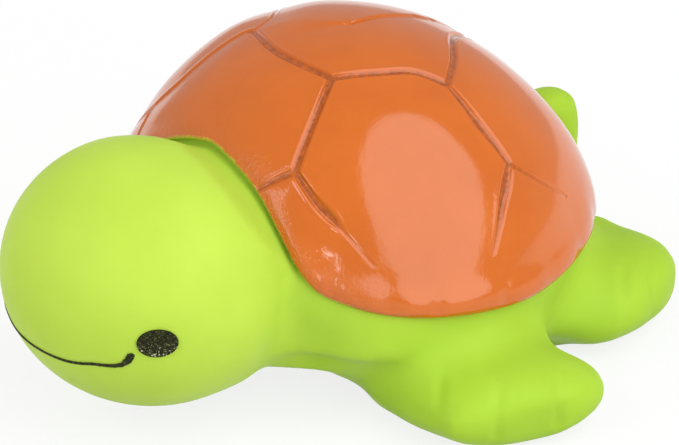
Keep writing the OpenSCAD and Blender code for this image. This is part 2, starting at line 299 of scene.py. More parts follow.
# Remeshing of the joined forms, and how deep a hollow is smoothed, over how many rings and rounds
VOXEL = 1.1
HOLLOW = (0.03, 0.14)
HOLLOW_REACH = 7
HOLLOW_GAIN = 1.6
HOLLOW_ROUNDS = 150
OVERALL_ROUNDS = 4
WEIGHT_STEPS = 20
# Share of that smoothing that the neck is spared, at most and low on its sides, and where the neck begins
NECK_SPARED, NECK_SIDES = 0.97, 0.93
NECK_FRONT, NECK_HEIGHT = (-4, -12), (15, 20)


def crease_weights(obj, reach):
    """Weight 1 in the hollows where two forms meet, fading out over some rings of neighbours."""
    co = points_of(obj)
    no = normals_of(obj)
    pairs = np.empty(len(obj.data.edges) * 2, np.int64)
    obj.data.edges.foreach_get("vertices", pairs)
    a, b = pairs.reshape(-1, 2).T
    count = np.bincount(a, minlength=len(co)) + np.bincount(b, minlength=len(co))

    def around(values):
        out = np.zeros_like(values)
        np.add.at(out, a, values[b])
        np.add.at(out, b, values[a])
        return out / (count[:, None] if values.ndim > 1 else count)

    hollow = ((around(co) - co) * no).sum(1)
    weight = smooth_step(hollow, *HOLLOW)
    for _ in range(reach):
        weight = np.maximum(weight, around(weight))
    for _ in range(reach):
        weight = 0.5 * weight + 0.5 * around(weight)
    ahead = smooth_step(co[:, 1], *NECK_FRONT)
    spared = np.maximum(NECK_SIDES, smooth_step(co[:, 2], *NECK_HEIGHT)) * ahead
    return np.clip(weight * HOLLOW_GAIN, 0, 1) * (1 - NECK_SPARED * spared)


def weigh(obj, name, weight):
    group = obj.vertex_groups.new(name=name)
    for level in range(1, WEIGHT_STEPS + 1):
        chosen = np.flatnonzero(np.round(weight * WEIGHT_STEPS) == level)
        if len(chosen):
            group.add([int(i) for i in chosen], level / WEIGHT_STEPS, "REPLACE")
    return group.name


# Short dents between the toes, from end to end on the left side, and their depth
TOE_DENTS = [((33.4, -6.2), (37.0, -10.0), 0.34), ((40.2, -1.8), (45.0, -6.8), 0.36),
             ((42.6, 6.4), (47.6, 2.4), 0.34), ((28.5, 33.2), (33.2, 28.8), 0.42),
             ((28.5, 37.8), (34.0, 34.3), 0.35), ((24.3, 41.3), (27.8, 46.0), 0.35)]
DENT_WIDTH = 0.75
# Shares of a dent's length where it fades at its ends, and the heights over which it begins
DENT_ENDS, DENT_FOOT = (0.08, 0.92), (2.0, 4.0)


def toe_dents(obj):
    co, no = points_of(obj), normals_of(obj)
    for one, other, depth in TOE_DENTS:
        for side in (1, -1):
            p, q = np.array(one), np.array(other)
            at = co[:, :2] * (side, 1)
            run = q - p
            t = ((at - p) @ run) / (run @ run)
            away = np.linalg.norm(at - p - np.clip(t, 0, 1)[:, None] * run, axis=1)
            hold = np.exp(-(away / DENT_WIDTH) ** 2) * np.sin(np.pi * np.clip(t, *DENT_ENDS))
            hold *= smooth_step(co[:, 2], *DENT_FOOT)
            co -= no * (depth * hold)[:, None]
    set_points(obj, co)


# Nudges of the soft body: place, reach and push in millimetres, the same on both sides
NUDGES = [((42.0, -5.0, 2.0), 6.0, (-0.8, 0.9, 0)), ((34.4, 17.8, 5.0), 3.5, (0.2, -0.7, 0)),
          ((46.0, 1.0, 3.0), 5.0, (-1.3, 1.2, 0)), ((45.0, 12.0, 3.0), 3.5, (0.2, 0.1, 0)),
          ((43.2, 13.8, 5.0), 5.0, (0.4, 0.6, 0)), ((33.8, -9.1, 3.0), 5.0, (0, -0.5, 0)),
          ((29.4, -8.5, 1.5), 4.0, (0.2, -0.5, 0)),
          ((36.5, 13.0, 8.8), 3.5, (0, -0.5, -0.3)), ((27.4, 22.2, 1.8), 3.0, (-0.5, 0.4, 0.6)),
          ((29.5, 19.5, 1.0), 3.2, (-3.0, -2.0, 0)), ((31.0, 26.3, 2.5), 4.0, (0.6, -0.6, -0.2)),
          ((15.5, 39.8, 12.0), 3.0, (0, 0.6, 1.3)), ((7.5, -24.0, 37.5), 5.0, (0, 0, -0.5)),
          ((17.3, -41.9, EYE_Z), 3.4, (-0.2, 0.12, 0)), ((20.5, -17.8, 13.5), 5.0, (-1.8, 2.4, 0)),
          ((16.0, -24.0, 8.5), 4.0, (0.3, 0.1, -0.5))]


def nudge(obj):
    co = points_of(obj)
    start = co.copy()
    for place, reach, push in NUDGES:
        for side in (1, -1):
            flip = np.array((side, 1, 1))
            hold = np.exp(-(((start - np.array(place) * flip) / reach) ** 2).sum(1))
            co += hold[:, None] * np.array(push) * flip
    set_points(obj, co)


# Lower line of the chest in the photo's view: to the right of and above the point looked at
CHEST_LINE = [(-9.6, -21.1), (-5.9, -21.1), (-2.4, -21.5), (-0.3, -22.2), (1.8, -23.9), (5.3, -26.95),
              (9.3, -29.7), (12.5, -31.2)]
# Where that line begins to hold: at its left and right ends, along the toy, in height and across
CHEST_LEFT, CHEST_RIGHT = (-11, -9.6), (12.5, 9.5)
CHEST_FRONT, CHEST_TOP, CHEST_MIDDLE = (-30, -27), (9, 6), (1, 6)
# How softly it holds, how far below it the skin may be, and how much higher it is for faces that look down
CHEST_EASE, CHEST_BELOW, CHEST_LIFT = 0.6, 0.2, 0.5
LOOKING_DOWN = (0.2, 0.7)


def lift_chest(obj):
    """The chest between the head and the front flippers stays above its lower line on both sides."""
    co = points_of(obj)
    x, y, z = np.abs(co[:, 0]), co[:, 1] - VIEW_TARGET[1], co[:, 2]
    across = VIEW_RIGHT[0] * x + VIEW_RIGHT[1] * y
    line = np.interp(across, *np.array(CHEST_LINE).T)
    lowest = VIEW_TARGET[2] + (line - VIEW_UP[0] * x - VIEW_UP[1] * y) / VIEW_UP[2]
    held = smooth_step(across, *CHEST_LEFT) * smooth_step(across, *CHEST_RIGHT)
    held *= smooth_step(co[:, 1], *CHEST_FRONT)
    held *= smooth_step(z, *CHEST_TOP) * smooth_step(x, *CHEST_MIDDLE)
    lowest += CHEST_LIFT * smooth_step(-normals_of(obj)[:, 2], *LOOKING_DOWN)
    co[:, 2] += held * CHEST_EASE * np.log1p(np.exp((lowest - CHEST_BELOW - z) / CHEST_EASE))
    set_points(obj, co)


# Depth of the skin below the ball at the shell's edge and under the shell, and of the valley at the neck
EDGE_DIP, COVERED_DIP, VALLEY_DIP = 0.4, 0.5, 1.1
# Distances from the edge over which the covered skin dips and the valley runs in and out
COVERED_IN, VALLEY_IN, VALLEY_OUT = (0, 1.2), (-1.0, 0.1), (1.7, 0.1)
# From this distance outside the edge the skin curves up again, this fast
RISE_FROM, RISE = 0.8, 2.0
# Turns from the nose in degrees between which the valley and the whole tuck fade
VALLEY_TURNS, TUCK_TURNS = (47, 34), (125, 100)
# How softly the tuck holds, and the largest power that it works out
TUCK_EASE, TOP_POWER = 0.4, 200


def tuck_under_shell(obj):
    """The skin dips below the shell wherever the shell covers it, and rises again outside its edge."""
    _, radius, fall, turn = shell_places(obj)
    above = BALL_R * (np.radians(rim_fall(turn)) - fall)
    out = np.maximum(0, -above)
    valley = smooth_step(np.abs(turn), *VALLEY_TURNS)
    limit = BALL_R - EDGE_DIP - COVERED_DIP * smooth_step(above, *COVERED_IN)
    limit += RISE * np.maximum(0, out - RISE_FROM) ** 2
    limit += (1 - valley) * out
    limit -= VALLEY_DIP * valley * smooth_step(-above, *VALLEY_IN) * smooth_step(out, *VALLEY_OUT)
    ahead = smooth_step(np.abs(turn), *TUCK_TURNS)
    past = np.minimum((radius - limit) / TUCK_EASE, TOP_POWER)
    radius -= ahead * TUCK_EASE * np.log1p(np.exp(past))
    set_on_ball(obj, radius, fall, turn)


# Holes in the underside for the squeaker: name, radius and top, each cut from a little below the toy
HOLES = (("flange_recess", FLANGE_R, FLOOR_Z), ("plug_pocket", PLUG_R, POCKET_Z))
CUT_BELOW = 2


def soft_body():
    front = flipper("front_flipper_form", **FRONT_FLIPPER)
    rear = flipper("rear_flipper_form", **REAR_FLIPPER)
    parts = [ellipsoid("head_form", HEAD_CENTRE, HEAD_RADII), belly(),
             front, mirrored(front, "front_flipper_twin"), rear, mirrored(rear, "rear_flipper_twin"),
             collar(), tail()]
    body = join(*parts)
    body.name = "soft_body"
    modify(body, "REMESH", mode="VOXEL", voxel_size=VOXEL * MM, use_smooth_shade=True)
    hollows = weigh(body, "hollows", crease_weights(body, HOLLOW_REACH))
    modify(body, "SMOOTH", factor=0.5, iterations=HOLLOW_ROUNDS, vertex_group=hollows)
    modify(body, "SMOOTH", factor=0.5, iterations=OVERALL_ROUNDS)
    modify(body, "SUBSURF", levels=1, render_levels=1)
    body.vertex_groups.clear()
    nudge(body)
    lift_chest(body)
    tuck_under_shell(body)
    toe_dents(body)
    flat = points_of(body)
    flat[:, 2] = np.maximum(flat[:, 2], 0)
    set_points(body, flat)
    for name, radius, top in HOLES:
        clear_selection()
        bpy.ops.mesh.primitive_cylinder_add(vertices=96, radius=radius * MM, depth=(top + CUT_BELOW) * MM,
                                            location=mm(0, BALL_CENTRE[1], (top - CUT_BELOW) / 2))
        cutter = apply_place(bpy.context.object)
        cutter.name = name
        modify(body, "BOOLEAN", operation="DIFFERENCE", solver="EXACT", object=cutter)
        bpy.data.objects.remove(cutter)
    tidy_mesh(body, merge=SAME_POINT)
    bpy.ops.object.shade_smooth_by_angle(angle=BODY_SHARP)
    return body


# The shell: a dome whose rim rises to the neck, with moulded plates

RIM_TURNS = (0, 10, 19.5, 26, 32.8, 37, 41.8, 48, 54, 61, 68, 80, 95, 110, 130, 180)
RIM_FALLS = (44.5, 46.4, 50.0, 54.3, 61.6, 67.9, 72.9, 75.0, 76.9, 78.5, 79.6, 81.0, 82.2, 81.5, 80.0, 79.8)
RIM_FALL = math.radians(79.5)
LIP_R = 1.2
# Rows of faces from the crown to the rim outside and inside, columns round the shell, and degrees per row
# of the rolled lip
OUTER_ROWS, INNER_ROWS, COLUMNS, LIP_STEP = 76, 10, 180, 18
# Rim angles between which the neck's thin edge becomes the rolled rim, and its share of that thickness
SIDE_RIM = (60, 77)
THIN_EDGE = 0.3

# Grooves as places on the ball: turn from the nose towards the left and height, in degrees, and width
GROOVES = [
    [(-55.6, 67.2, 0.8), (-20, 71.4, 1), (10, 71.6, 1), (38.9, 68.9, 1.05)],
    [(38.9, 68.9, 1.05), (69.9, 70, 1), (91.4, 67.8, 1), (102.6, 61.2, 1.05)],
    [(102.6, 61.2, 0.9), (125, 64.6, 1), (149.3, 65.1, 1), (163, 61.5, 1.2), (172, 55.5, 1.1), (180, 49, 1)],
    [(38.9, 68.9, 1.05), (35.4, 56.5, 1.0), (32.8, 43.9, 1.1)],
    [(32.8, 43.9, 1.1), (23, 38.8, 0.8)],
    [(32.8, 43.9, 0.9), (39.5, 38.3, 1.15), (43.5, 35.2, 1.3), (46.6, 32.7, 0.8), (48.6, 30.8, 0.45),
     (55.6, 23.5, 0.35)],
    [(102.6, 61.2, 0.8), (101.4, 55, 1.1), (100.8, 49.5, 1.35), (101.5, 44, 1.15), (102.4, 38.6, 0.95)],
    [(102.4, 38.6, 0.95), (97, 34.5, 1.45), (93.2, 31, 1.1), (86.2, 21.6, 0.4)],
    [(102.4, 38.6, 0.8), (110.5, 31.5, 0.65), (119.2, 23.9, 0.4)],
    [(180, 49, 1), (180, 42, 1), (180, 36, 1.1)],
    [(180, 36, 1.1), (172, 30, 0.9), (164, 22, 0.4)],
    [(180, 36, 1.1), (188, 30, 0.9), (196, 22, 0.4)],
    [(-55.6, 67.2, 0.5), (-75, 68.5, 0.5), (-92, 63.5, 0.7), (-103, 57, 1)],
    [(-103, 57, 1), (-125, 56, 1), (-150, 54.5, 1), (-180, 49, 1)],
    [(-55.6, 67.2, 0.8), (-57, 63.5, 0.9), (-43.4, 48.5, 1), (-44.5, 38.3, 1.1)],
    [(-44.5, 38.3, 1.1), (-38.2, 32.8, 0.8)],
    [(-44.5, 38.3, 1.1), (-50, 31.5, 0.9), (-56, 23.5, 0.4)],
    [(-103, 57, 1), (-101, 48, 1), (-102, 38.6, 1.1)],
    [(-102, 38.6, 1.1), (-93, 31, 0.9), (-86, 21.6, 0.4)],
    [(-102, 38.6, 1.1), (-110.5, 31.5, 0.9), (-119, 23.9, 0.4)],
]
# Notches between the marginal plates: turn in degrees, half width and depth in millimetres
MARGINS = [(46, 0.9, 0.3), (58.5, 1.7, 0.4), (70, 1.1, 0.4), (87.5, 1.0, 0.35), (103, 1.8, 0.2),
           (118, 2.0, 0.2), (133, 2.0, 0.2), (148, 2.0, 0.2), (163, 2.0, 0.2), (177, 2.0, 0.2)]
MARGIN_RUN = (7.0, 0.5)
# Groove walls and the rounded ridge beside them, as shares of the groove's width, and their depth and height
GROOVE_WALL, RIDGE_PLACE, RIDGE_WIDTH = (0.25, 0.7), 0.86, 0.18
GROOVE_DEPTH, RIDGE_RISE = 0.38, 0.07
# Flare of the rim and its extra behind: how far out, and how wide; and the droop of the thin edge at the neck
REAR_TURNS = (105, 140)
FLARE, FLARE_REAR = 0.42, 0.4
FLARE_ABOVE, FLARE_WIDTH, FLARE_WIDTH_REAR = 2.2, 2.0, 3.0
DROOP, DROOP_WIDTH = 0.25, 1.6
# Pillows of the plates: reach from a groove, distance above the rim, rise, and extra rise on the right
PILLOW_REACH, PILLOW_RIM = 4.0, (2.0, 10.0)
PILLOW_RISE, PILLOW_RISE_RIGHT, RIGHT_TURNS = 0.15, 0.3, (20, 60)
# Slight swells of the shell: place on the ball, spread in degrees and height in millimetres
SWELLS = [((-93, 58), 20, 0.95), ((-50, 20), 9, 0.5), ((146, 25), 15, 0.75), ((-146, 25), 15, 0.75),
          ((165, 42), 12, -0.2)]


# Degrees each way over which the rim's corners are eased
RIM_EASE = 6


def rim_fall(turn):
    """Angle of the rim from the crown at a turn from the nose, all in degrees, with its corners eased."""
    fine = np.arange(-60, 241.0, 1.0)
    fall = np.interp(np.abs(np.where(fine > 180, 360 - fine, fine)), RIM_TURNS, RIM_FALLS)
    kernel = np.exp(-np.linspace(-2, 2, 2 * RIM_EASE + 1) ** 2)
    eased = np.convolve(np.pad(fall, RIM_EASE, mode="edge"), kernel / kernel.sum(), mode="valid")
    return np.interp(np.abs(turn), fine, eased)


def on_ball(turn, height):
    t, h = np.radians(turn), np.radians(height)
    return np.stack((np.cos(h) * np.sin(t), -np.cos(h) * np.cos(t), np.sin(h)), -1)


def eased_run(knots, steps):
    """A smooth run through knots, with the ends kept."""
    ends = np.vstack((2 * knots[0] - knots[1], knots, 2 * knots[-1] - knots[-2]))
    run = []
    for p0, p1, p2, p3 in zip(ends, ends[1:], ends[2:], ends[3:]):
        for t in np.arange(steps) / steps:
            run.append(0.5 * (2 * p1 + (p2 - p0) * t + (2 * p0 - 5 * p1 + 4 * p2 - p3) * t ** 2
                              + (3 * p1 - p0 - 3 * p2 + p3) * t ** 3))
    run.append(knots[-1])
    return np.array(run)


def groove_distance(units):
    """Distance of each direction from the nearest groove in millimetres, plain and in shares of its width."""
    near, share, wide = np.full(len(units), 1e3), np.full(len(units), 1e3), np.ones(len(units))
    for groove in GROOVES:
        table = np.array(groove, float)
        knots = np.column_stack((on_ball(table[:, 0], table[:, 1]), table[:, 2]))
        run = eased_run(knots, steps=8)
        run[:, :3] /= np.linalg.norm(run[:, :3], axis=1)[:, None]
        for p, q in zip(run, run[1:]):
            step = q[:3] - p[:3]
            t = np.clip(((units - p[:3]) @ step) / (step @ step), 0, 1)
            away = BALL_R * np.linalg.norm(units - p[:3] - t[:, None] * step, axis=1)
            width = p[3] + t * (q[3] - p[3])
            near = np.minimum(near, away)
            wide = np.where(away / width < share, width, wide)
            share = np.minimum(share, away / width)
    return near, share, np.minimum(wide, 1)


def shell_places(obj):
    rel = points_of(obj) - BALL_CENTRE
    radius = np.linalg.norm(rel, axis=1)
    fall = np.arccos(np.clip(rel[:, 2] / radius, -1, 1))
    turn = np.degrees(np.arctan2(rel[:, 0], -rel[:, 1]))
    return rel, radius, fall, turn


def set_on_ball(obj, radius, fall, turn):
    set_points(obj, BALL_CENTRE + radius[:, None] * on_ball(turn, 90 - np.degrees(fall)))


def spun_dome():
    """A dome with a rolled lip, spun from its profile."""
    lip_start = RIM_FALL - LIP_R / BALL_R
    outer = [(lip_start * i / OUTER_ROWS, BALL_R) for i in range(OUTER_ROWS + 1)]
    lip = []
    for a in range(LIP_STEP, 181, LIP_STEP):
        a = math.radians(a)
        lip.append((lip_start + LIP_R / BALL_R * math.sin(a), BALL_R - LIP_R * (1 - math.cos(a))))
    inner = [(lip_start * (1 - i / INNER_ROWS), BALL_R - 2 * LIP_R) for i in range(1, INNER_ROWS + 1)]
    profile = outer + lip + inner
    clear_selection()
    bpy.ops.mesh.primitive_circle_add(vertices=3, radius=MM, location=mm(*BALL_CENTRE))
    obj = bpy.context.object
    obj.name = "shell"
    bpy.ops.object.mode_set(mode="EDIT")
    bpy.ops.mesh.select_all(action="SELECT")
    bpy.ops.mesh.merge(type="CENTER")
    fall, radius = profile[0]
    at = np.array((radius * math.sin(fall), 0, radius * math.cos(fall)))
    bpy.ops.transform.translate(value=mm(*at))
    for fall, radius in profile[1:]:
        new = np.array((radius * math.sin(fall), 0, radius * math.cos(fall)))
        bpy.ops.mesh.extrude_vertices_move(TRANSFORM_OT_translate={"value": mm(*(new - at))})
        at = new
    bpy.ops.mesh.select_all(action="SELECT")
    bpy.ops.mesh.spin(steps=COLUMNS, angle=2 * math.pi, center=mm(*BALL_CENTRE), axis=(0, 0, 1),
                      use_auto_merge=True)
    bpy.ops.object.mode_set(mode="OBJECT")
    apply_place(obj)
    return tidy_mesh(obj, merge=2 * SAME_POINT)


def bend_rim(obj):
    """The rim follows its own line round the shell, with a thin edge at the neck."""
    _, radius, fall, turn = shell_places(obj)
    rim = rim_fall(turn)
    fall = fall * np.radians(rim) / RIM_FALL
    radius = BALL_R - (BALL_R - radius) * (THIN_EDGE + (1 - THIN_EDGE) * smooth_step(rim, *SIDE_RIM))
    set_on_ball(obj, radius, fall, turn)


# Two rounds of more faces: distance from the grooves and from the rim; and how deep a point of the outside
# may lie during and after them
FINER = ((2.5, 8.0), (1.45, -1.0))
OUTSIDE_DURING, OUTSIDE_AFTER = 0.1, 0.12


def refine_grooves(obj):
    """More faces near the rim and where the grooves run."""
    for reach, rim_band in FINER:
        rel, radius, fall, turn = shell_places(obj)
        near = groove_distance(rel / radius[:, None])[0] < reach
        near |= BALL_R * (np.radians(rim_fall(turn)) - fall) < rim_band
        near &= radius > BALL_R - OUTSIDE_DURING
        only(obj)
        bpy.ops.object.mode_set(mode="EDIT")
        bpy.ops.mesh.select_all(action="DESELECT")
        bpy.ops.object.mode_set(mode="OBJECT")
        for face in obj.data.polygons:
            face.select = all(near[v] for v in face.vertices)
        bpy.ops.object.mode_set(mode="EDIT")
        bpy.ops.mesh.select_mode(type="FACE")
        bpy.ops.mesh.subdivide(number_cuts=1)
        bpy.ops.object.mode_set(mode="OBJECT")


def mould_plates(obj):
    """Flared rim, grooves with rounded ridges, pillowed plates and notches between the marginal plates."""
    _, radius, fall, turn = shell_places(obj)
    outside = radius > BALL_R - OUTSIDE_AFTER
    radius = np.where(outside, BALL_R, radius)
    rim = rim_fall(turn)
    above = BALL_R * (np.radians(rim) - fall)
    side = smooth_step(rim, *SIDE_RIM)
    behind = smooth_step(np.abs(turn), *REAR_TURNS)
    spread = FLARE_WIDTH + FLARE_WIDTH_REAR * behind
    flare = side * ((FLARE + FLARE_REAR * behind) * np.exp(-((above - FLARE_ABOVE) / spread) ** 2))
    flare -= (1 - side) * DROOP * np.exp(-(np.maximum(above, 0) / DROOP_WIDTH) ** 2)
    units = on_ball(turn, 90 - np.degrees(fall))
    near, share, wide = groove_distance(units)
    groove = (1 - smooth_step(share, *GROOVE_WALL)) * wide
    ridge = np.exp(-((share - RIDGE_PLACE) / RIDGE_WIDTH) ** 2) * wide
    pillow = (1 - np.exp(-(near / PILLOW_REACH) ** 2)) * smooth_step(above, *PILLOW_RIM)
    pillow *= PILLOW_RISE + PILLOW_RISE_RIGHT * smooth_step(-turn, *RIGHT_TURNS)
    margin = np.zeros(len(turn))
    for place, half, depth in MARGINS:
        off = np.radians(np.abs(turn) - place) * BALL_R * np.sin(fall)
        margin = np.maximum(margin, depth * np.exp(-(off / half) ** 2))
    margin *= side * smooth_step(above, *MARGIN_RUN)
    for place, reach, swell in SWELLS:
        off = np.degrees(np.arccos(np.clip(units @ on_ball(*place), -1, 1)))
        pillow += swell * np.exp(-(off / reach) ** 2)
    relief = RIDGE_RISE * ridge - GROOVE_DEPTH * groove - margin + pillow
    set_on_ball(obj, radius + flare + np.where(outside, relief, 0), fall, turn)
    for name, values in (("groove", groove * outside), ("rim_above", above)):
        attribute = obj.data.attributes.new(name, "FLOAT", "POINT")
        attribute.data.foreach_set("value", values.astype(np.float32))


def shell():
    obj = spun_dome()
    bend_rim(obj)
    refine_grooves(obj)
    mould_plates(obj)
    only(obj)
    bpy.ops.object.shade_smooth()
    return obj


# Painted face, with the height of the paint over the skin

EYE_PAINT, SMILE_PAINT = 0.1, 0.07
# Lean of the eyes, their rounded edge, and the length of the plug that is trimmed to the paint
EYE_LEAN = math.radians(4)
EYE_EDGE, EYE_PLUG = 0.12, 3


def eye(name, side):
    clear_selection()
    turn = side * EYE_TURN
    out = np.array((math.sin(turn), -math.cos(turn), 0))
    reach = 1 / math.sqrt((out[0] / HEAD_RADII[0]) ** 2 + (out[1] / HEAD_RADII[1]) ** 2)
    place = np.array((0, HEAD_CENTRE[1], EYE_Z)) + out * reach
    bpy.ops.mesh.primitive_cylinder_add(vertices=72, radius=0.5, depth=EYE_PLUG * MM, location=mm(*place),
                                        rotation=(math.pi / 2, -side * EYE_LEAN, turn))
    obj = bpy.context.object
    obj.name = name
    obj.scale = (EYE_SIZE[0] * MM, EYE_SIZE[1] * MM, 1)
    apply_place(obj)
    skin = ellipsoid("eye_skin", HEAD_CENTRE, tuple(r + EYE_PAINT for r in HEAD_RADII), segments=256)
    modify(obj, "BOOLEAN", operation="INTERSECT", solver="EXACT", object=skin)
    bpy.data.objects.remove(skin)
    modify(obj, "BEVEL", width=EYE_EDGE * MM, segments=2, limit_method="ANGLE", angle_limit=FACE_SHARP)
    only(obj)
    bpy.ops.object.shade_smooth_by_angle(angle=FACE_SHARP)
    return obj


# The smile seen from the front: across, height and width of the line, in millimetres
SMILE = [(0.0, 15.45, 0.34), (2.0, 15.45, 0.34), (4.0, 15.5, 0.36), (6.0, 15.62, 0.4), (8.0, 15.95, 0.44),
         (9.6, 16.35, 0.42), (11.0, 16.5, 0.46), (12.3, 16.65, 0.54), (13.4, 17.05, 0.62), (14.1, 17.8, 0.68),
         (14.45, 18.5, 0.72), (14.6, 19.0, 0.72)]
# Rounding of the smile's ends and their least size, waver of its line (size, rate, start), and the front
# and back of the strip that is trimmed to the paint
END_ROUND, END_SIZE = 0.36, 0.02
WAVER = ((0.1, 7.3, 0), (0.08, 17.1, 1))
STRIP_FRONT, STRIP_BACK = -52.0, -42.0
# Corners of the strip closer together than this, in metres, are the same corner
SAME_CORNER = 1e-7


def smile_edges():
    """Upper and lower edge of the painted line, seen from the front."""
    half = np.array(SMILE)
    path = np.vstack((half[:0:-1] * (-1, 1, 1), half))
    fine = eased_run(path, steps=5)
    gone = np.concatenate(([0], np.cumsum(np.linalg.norm(np.diff(fine[:, :2], axis=0), axis=1))))
    left = np.minimum(gone, gone[-1] - gone) / END_ROUND
    fine[:, 2] *= np.where(left < 1, np.sqrt(np.maximum(END_SIZE, 1 - (1 - left) ** 2)), 1)
    run = np.gradient(fine[:, :2], axis=0)
    run /= np.linalg.norm(run, axis=1)[:, None]
    across = np.stack((-run[:, 1], run[:, 0]), 1) * fine[:, 2:] / 2
    waver = 1
    for size, rate, start in WAVER:
        waver = waver + size * np.sin(fine[:, :1] * rate + start)
    return fine[:, :2] + across * waver, fine[:, :2] - across * waver


def on_strip(point):
    return Vector(mm(point[0], STRIP_FRONT, point[1]))


def smile():
    upper, lower = smile_edges()
    clear_selection()
    bpy.ops.mesh.primitive_plane_add(size=1)
    obj = bpy.context.object
    obj.name = "smile"
    corners = (lower[0], upper[0], lower[1], upper[1])
    spots = [on_strip(p) for p in corners]
    order = {(-1, -1): 0, (-1, 1): 1, (1, -1): 2, (1, 1): 3}
    for v in obj.data.vertices:
        v.co = spots[order[(1 if v.co.x > 0 else -1, 1 if v.co.y > 0 else -1)]]
    bpy.ops.object.mode_set(mode="EDIT")
    bpy.ops.mesh.select_mode(type="EDGE")
    for i in range(1, len(upper) - 1):
        bpy.ops.mesh.select_all(action="DESELECT")
        bpy.ops.object.mode_set(mode="OBJECT")
        goal = {j for j, v in enumerate(obj.data.vertices)
                if min((v.co - on_strip(p)).length for p in (lower[i], upper[i])) < SAME_CORNER}
        for e in obj.data.edges:
            e.select = set(e.vertices) == goal
        bpy.ops.object.mode_set(mode="EDIT")
        bpy.ops.mesh.extrude_edges_move(TRANSFORM_OT_translate={"value": (0, 0, 0)})
        bpy.ops.object.mode_set(mode="OBJECT")
        for v in obj.data.vertices:
            if v.select:
                low = (v.co - on_strip(lower[i])).length < SAME_CORNER
                v.co = on_strip(lower[i + 1] if low else upper[i + 1])
        bpy.ops.object.mode_set(mode="EDIT")
    bpy.ops.mesh.select_mode(type="FACE")
    bpy.ops.mesh.select_all(action="SELECT")
    bpy.ops.mesh.extrude_region_move(TRANSFORM_OT_translate={"value": mm(0, STRIP_BACK - STRIP_FRONT, 0)})
    bpy.ops.object.mode_set(mode="OBJECT")
    tidy_mesh(obj)
    skin = ellipsoid("smile_skin", HEAD_CENTRE, tuple(r + SMILE_PAINT for r in HEAD_RADII), segments=256)
    modify(obj, "BOOLEAN", operation="INTERSECT", solver="EXACT", object=skin)
    bpy.data.objects.remove(skin)
    tidy_mesh(obj, merge=SAME_POINT)
    bpy.ops.object.shade_smooth_by_angle(angle=FACE_SHARP)
    return obj


# Shader node helpers

def linear(r, g, b):
    def one(v):
        v /= 255
        return v / 12.92 if v <= 0.04045 else ((v + 0.055) / 1.055) ** 2.4
    return (one(r), one(g), one(b), 1)


class Sheet:
    """A node tree with short calls to add and link its nodes."""

    def __init__(self, tree):
        self.tree = tree

    def add(self, kind, **values):
        node = self.tree.nodes.new(kind)
        inputs = values.pop("inputs", {})
        for name, value in values.items():
            setattr(node, name, value)
        for name, value in inputs.items():
            if isinstance(value, bpy.types.NodeSocket):
                self.tree.links.new(value, node.inputs[name])
            else:
                node.inputs[name].default_value = value
        return node

    def math(self, operation, a, b):
        return self.add("ShaderNodeMath", operation=operation, inputs={0: a, 1: b}).outputs[0]

    def noise(self, vector, scale, detail, rough):
        return self.add("ShaderNodeTexNoise", inputs={"Vector": vector, "Scale": scale, "Detail": detail,
                                                      "Roughness": rough}).outputs["Fac"]

    def span(self, value, low, high, to_low=0.0, to_high=1.0, smooth=False):
        kind = "SMOOTHSTEP" if smooth else "LINEAR"
        return self.add("ShaderNodeMapRange", interpolation_type=kind, clamp=True,
                        inputs={"Value": value, "From Min": low, "From Max": high, "To Min": to_low,
                                "To Max": to_high}).outputs["Result"]

    def mix(self, factor, a, b, blend="MIX"):
        node = self.add("ShaderNodeMix", data_type="RGBA", blend_type=blend, inputs={0: factor, 6: a, 7: b})
        return node.outputs[2]


def moulded_skin_group():
    """Cloudy colour, uneven gloss and fine pores of a moulded or sprayed skin."""
    tree = bpy.data.node_groups.new("moulded_skin", "ShaderNodeTree")
    for name in ("Color", "Deeper"):
        tree.interface.new_socket(name=name, in_out="INPUT", socket_type="NodeSocketColor")
    for name in ("Cloud Scale", "Pore Scale", "Gloss Low", "Gloss High"):
        tree.interface.new_socket(name=name, in_out="INPUT", socket_type="NodeSocketFloat")
    tree.interface.new_socket(name="Color", in_out="OUTPUT", socket_type="NodeSocketColor")
    for name in ("Roughness", "Height"):
        tree.interface.new_socket(name=name, in_out="OUTPUT", socket_type="NodeSocketFloat")
    s = Sheet(tree)
    given = s.add("NodeGroupInput").outputs
    put = s.add("NodeGroupOutput")
    place = s.add("ShaderNodeTexCoord").outputs["Object"]
    cloud = s.noise(place, given["Cloud Scale"], detail=4.0, rough=0.55)
    pore = s.noise(place, given["Pore Scale"], detail=2.0, rough=0.6)
    soft = s.span(cloud, 0.3, 0.7, smooth=True)
    color = s.mix(soft, given["Color"], given["Deeper"])
    rough = s.span(cloud, 0.3, 0.7, given["Gloss Low"], given["Gloss High"])
    height = s.math("ADD", s.math("MULTIPLY", cloud, 0.6), s.math("MULTIPLY", pore, 0.4))
    tree.links.new(color, put.inputs["Color"])
    tree.links.new(rough, put.inputs["Roughness"])
    tree.links.new(height, put.inputs["Height"])
    return tree


SKIN = moulded_skin_group()
GREEN = linear(187, 218, 78)
GREEN_DEEP = linear(182, 213, 74)
ORANGE = linear(205, 102, 22)
ORANGE_DEEP = linear(197, 96, 19)
# Painted shade: the body behind the head, with its flippers and tail, is multiplied to a darker, deeper
# green, standing in for dimmer light there
BODY_PAINTED_SHADE = (0.78, 0.87, 0.57, 1)
# Painted shade: the speckled brown that darkens the inside of the shell's grooves
GROOVE_SHADE = linear(134, 63, 18)
BLACK, BLACK_DEEP = linear(30, 32, 10), linear(20, 21, 7)
# Painted highlights on the black paint: fine light specks all over it, and brighter glints low on the eyes
SPECK_HIGHLIGHT, EYE_GLINT = linear(80, 84, 42), linear(205, 208, 170)
WHITE, WHITE_DEEP = linear(238, 238, 232), linear(228, 228, 220)
FILM, FILM_DEEP = linear(205, 209, 198), linear(192, 197, 186)


def material(name):
    made = bpy.data.materials.new(name)
    made.use_nodes = True
    sheet = Sheet(made.node_tree)
    shader = next(n for n in made.node_tree.nodes if n.type == "BSDF_PRINCIPLED")
    return made, sheet, shader


